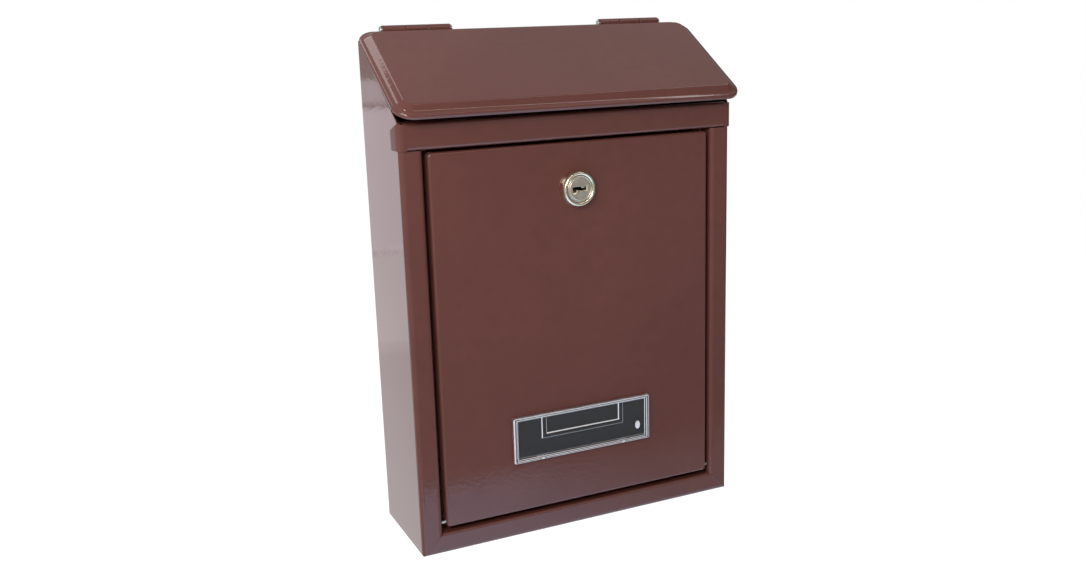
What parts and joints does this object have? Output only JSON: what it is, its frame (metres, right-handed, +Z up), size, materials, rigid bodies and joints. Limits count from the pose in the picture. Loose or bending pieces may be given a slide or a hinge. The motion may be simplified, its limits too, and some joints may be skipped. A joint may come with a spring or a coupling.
{
  "type": "wall mounted mailbox",
  "caption": "Wall mounted sheet steel mailbox with a sloping hinged lid, a bottom hinged front door, a cam lock and a clear name plate.",
  "frame": {"origin": "centre of the wall face, on the rear of the back panel, 150 mm above the underside", "axes": "+Z up, +Y into the wall, -Y out of the front, +X to the right seen from the front"},
  "size_m": [0.2224, 0.0779, 0.3102],
  "materials": {
    "paint": "glossy dark brown enamel",
    "chrome": "polished",
    "zinc": "zinc plated",
    "brass": "stamped",
    "clear_plastic": "clear, glossy",
    "card": "matt dark insert"
  },
  "bodies": {
    "mailbox_body": {"body_wrap": "paint", "back_panel": "paint", "header_rail": "paint", "lid_hinge_left_wall_leaf": "paint", "lid_hinge_right_wall_leaf": "paint", "lid_hinge_left_pin": "zinc", "lid_hinge_right_pin": "zinc", "door_pin_left": "zinc", "door_pin_right": "zinc"},
    "lid": {"lid_shell": "paint", "lid_hinge_left_lid_leaf": "paint", "lid_hinge_right_lid_leaf": "paint"},
    "door": {"door_panel": "paint", "nameplate_cover": "clear_plastic", "nameplate_card": "card", "lock_housing": "chrome", "lock_washer": "zinc", "lock_nut": "zinc"},
    "lock_cylinder": {"lock_plug": "chrome", "lock_stop_washer": "zinc", "lock_cam": "zinc", "cam_screw": "zinc", "lock_wafer_1": "brass", "lock_wafer_2": "brass", "lock_wafer_3": "brass", "lock_wafer_4": "brass", "lock_wafer_5": "brass", "wafer_spring_1": "zinc", "wafer_spring_2": "zinc", "wafer_spring_3": "zinc", "wafer_spring_4": "zinc", "wafer_spring_5": "zinc"}
  },
  "joints": [
    {"name": "lid_hinge", "type": "hinge", "parent": "mailbox_body", "child": "lid", "pos_m": [0, -0.00275, 0.15755], "axis": [-1, 0, 0], "range_deg": [0, 105]},
    {"name": "door_hinge", "type": "hinge", "parent": "mailbox_body", "child": "door", "pos_m": [0, -0.0636, -0.1311], "axis": [1, 0, 0], "range_deg": [0, 110]},
    {"name": "lock_turn", "type": "hinge", "parent": "door", "child": "lock_cylinder", "pos_m": [0, -0.06, 0.0634], "axis": [0, -1, 0], "range_deg": [0, 90]}
  ]
}
